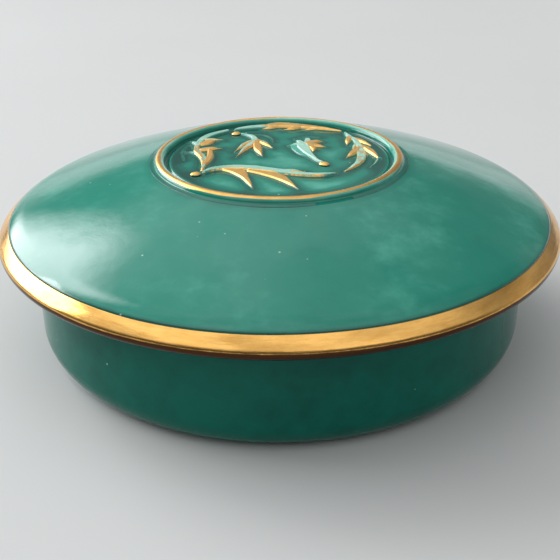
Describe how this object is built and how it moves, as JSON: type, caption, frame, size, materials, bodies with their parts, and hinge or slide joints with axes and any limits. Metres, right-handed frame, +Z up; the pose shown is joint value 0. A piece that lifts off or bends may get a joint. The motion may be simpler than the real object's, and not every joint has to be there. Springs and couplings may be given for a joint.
{
  "type": "porcelain trinket box",
  "caption": "Round glazed porcelain trinket box with a wide lift-off domed lid, gilded rolled lip and a raised ring medallion of leaf sprigs.",
  "frame": {"origin": "centre of the foot ring's underside, on the table", "axes": "+Z up along the box's axis, -Y towards the front, +X to the right"},
  "size_m": [0.16, 0.16, 0.054],
  "materials": {
    "green_glaze": "glossy translucent emerald glaze, mottled, paler where it thins over edges",
    "bare_porcelain": "unglazed, smooth and matt",
    "gilding": "fired bright gold lustre with light brush and wear marks",
    "gilt_relief": "pale green glazed relief with gold lustre brushed on the raised lobes"
  },
  "bodies": {
    "base": {"base_bowl": "green_glaze", "foot_ring": "bare_porcelain"},
    "lid": {"lid_shell": "green_glaze", "locating_ring": "green_glaze", "rim_gilding": "gilding", "medallion_moulding": "green_glaze", "moulding_gilding": "gilding", "sprig_front": "gilt_relief", "sprig_right": "gilt_relief", "sprig_back": "gilt_relief", "sprig_left": "gilt_relief", "sprig_inner_left": "gilt_relief", "sprig_inner_right": "gilt_relief", "sprig_buds": "gilt_relief"}
  },
  "joints": [
    {"name": "lid_lift", "type": "slide", "parent": "base", "child": "lid", "axis": [0, 0, 1], "range_m": [0, 0.08]}
  ]
}
